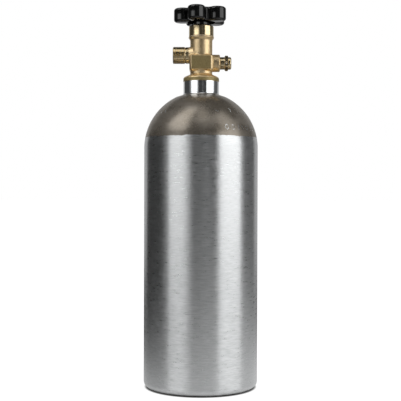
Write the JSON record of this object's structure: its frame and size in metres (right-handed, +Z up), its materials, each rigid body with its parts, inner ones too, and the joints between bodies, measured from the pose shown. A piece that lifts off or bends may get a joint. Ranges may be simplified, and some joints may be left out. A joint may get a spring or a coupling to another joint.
{
  "type": "gas cylinder with handwheel valve",
  "caption": "Small seamless aluminium gas cylinder with a brass handwheel valve, a threaded side outlet and a burst-disc safety plug.",
  "frame": {"origin": "on the floor, at the centre of the foot ring, on the cylinder's axis", "axes": "+Z up along the cylinder's axis, -X out of the valve's outlet, +X out of the safety plug"},
  "size_m": [0.1333, 0.1334, 0.4439],
  "materials": {
    "brushed_aluminium": "brushed round the body, heat-tinted brown on the shoulder, polished at the neck",
    "forged_brass": "matte forged, machined at the ends",
    "polished_brass": "turned and polished",
    "black_gloss": "glossy black moulding",
    "seal_rubber": "matte",
    "seal_nylon": "matte",
    "copper": "plain copper",
    "plated_steel": "zinc plated"
  },
  "bodies": {
    "cylinder": {"cylinder_shell": "brushed_aluminium", "neck_o_ring": "seal_rubber", "valve_body": "forged_brass", "bonnet_gasket": "seal_nylon", "bonnet_nut": "polished_brass", "thrust_washer": "seal_nylon", "stem_o_ring": "seal_rubber", "backup_ring": "seal_nylon", "disc_gasket": "copper", "burst_disc": "copper", "safety_plug": "polished_brass"},
    "handwheel": {"handwheel": "black_gloss", "wheel_washer": "plated_steel", "wheel_nut": "plated_steel", "valve_stem": "polished_brass"},
    "valve_plug": {"valve_plug": "forged_brass", "seat_insert": "seal_nylon"}
  },
  "joints": [
    {"name": "handwheel_turn", "type": "hinge", "parent": "cylinder", "child": "handwheel", "pos_m": [0, 0, 0.4286], "axis": [0, 0, 1], "range_deg": [0, 630]},
    {"name": "plug_travel", "type": "slide", "parent": "handwheel", "child": "valve_plug", "axis": [0, 0, 1], "range_m": [0, 0.00263]}
  ],
  "couplings": [
    {"joint": "handwheel_turn", "follows": "plug_travel", "rad_per_m": 4188.8}
  ]
}
